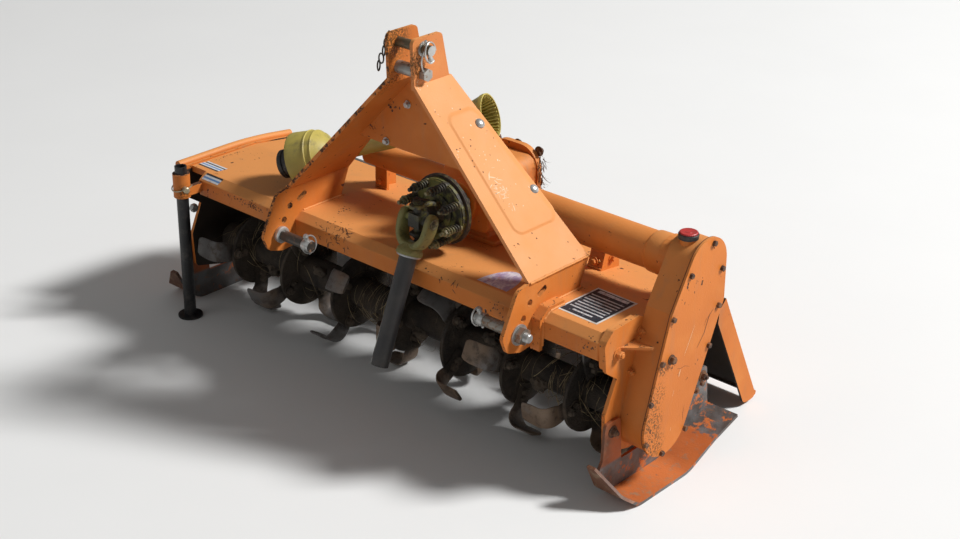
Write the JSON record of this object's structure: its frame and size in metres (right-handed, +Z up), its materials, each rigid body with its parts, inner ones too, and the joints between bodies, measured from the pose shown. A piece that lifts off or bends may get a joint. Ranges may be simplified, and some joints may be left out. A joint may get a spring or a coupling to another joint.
{
  "type": "three-point rotary tiller",
  "caption": "Orange three-point rotary tiller: hooded rotor of L-shaped tines, gearbox with slip clutch, side chain case, skids, rear levelling board and parking stand.",
  "frame": {"origin": "on the floor below the middle of the whole parked machine", "axes": "+X across the working width towards the chain case, -Y towards the tractor and +Y to the rear board, +Z up"},
  "size_m": [1.709, 0.7976, 1.003],
  "materials": {
    "orange": "semi-gloss, sun-faded",
    "orange_cast": "painted casting",
    "worn_orange": "worn paint over scuffed steel",
    "zinc": "zinc plated, dulled",
    "red_plastic": "matte",
    "soiled_steel": "soil-stained",
    "black": "satin",
    "clutch_iron": "greasy, dusty",
    "bare_steel": "oiled, dull",
    "yellow_plastic": "sun-faded"
  },
  "bodies": {
    "frame": {"front_beam": "orange", "hood": "orange", "hood_rim": "orange", "end_plate_left": "orange", "end_plate_right": "orange", "hitch_plate_right": "orange", "hitch_plate_left": "orange", "mast_leg_right": "orange", "mast_leg_left": "orange", "mast_brace": "orange", "top_pin": "zinc", "ear_bolt": "zinc", "lower_pin_right": "zinc", "lower_pin_left": "zinc", "gearbox": "orange_cast", "gearbox_cover": "orange_cast", "drive_tube": "orange", "support_tube": "orange", "tube_bracket_right": "orange", "tube_bracket_left": "orange", "chain_case": "orange", "chain_cover": "orange", "filler_cap": "red_plastic", "skid_right": "worn_orange", "skid_left": "worn_orange", "rotor_bearing": "orange_cast", "stand_socket": "orange", "hinge_rod": "zinc", "slip_clutch": "clutch_iron", "clutch_yoke": "clutch_iron", "joint_cross": "clutch_iron", "loose_guard": "yellow_plastic", "loose_shaft": "black"},
    "rotor": {"rotor": "soiled_steel"},
    "stand": {"stand_leg": "black"},
    "board": {"rear_board": "orange"},
    "half_shaft": {"shaft_yoke": "clutch_iron", "shaft_tube": "bare_steel"}
  },
  "joints": [
    {"name": "rotor_turn", "type": "hinge", "parent": "frame", "child": "rotor", "pos_m": [0.1245, -0.1036, 0.171], "axis": [1, 0, 0], "continuous": true},
    {"name": "stand_slide", "type": "slide", "parent": "frame", "child": "stand", "axis": [0, 0, 1], "range_m": [0, 0.28]},
    {"name": "board_hinge", "type": "hinge", "parent": "frame", "child": "board", "pos_m": [0.1245, 0.1924, 0.382], "axis": [1, 0, 0], "range_deg": [0, 60]},
    {"name": "half_shaft_swing", "type": "hinge", "parent": "frame", "child": "half_shaft", "pos_m": [0.1505, -0.2356, 0.532], "axis": [-1, 0, 0], "range_deg": [0, 65]}
  ]
}
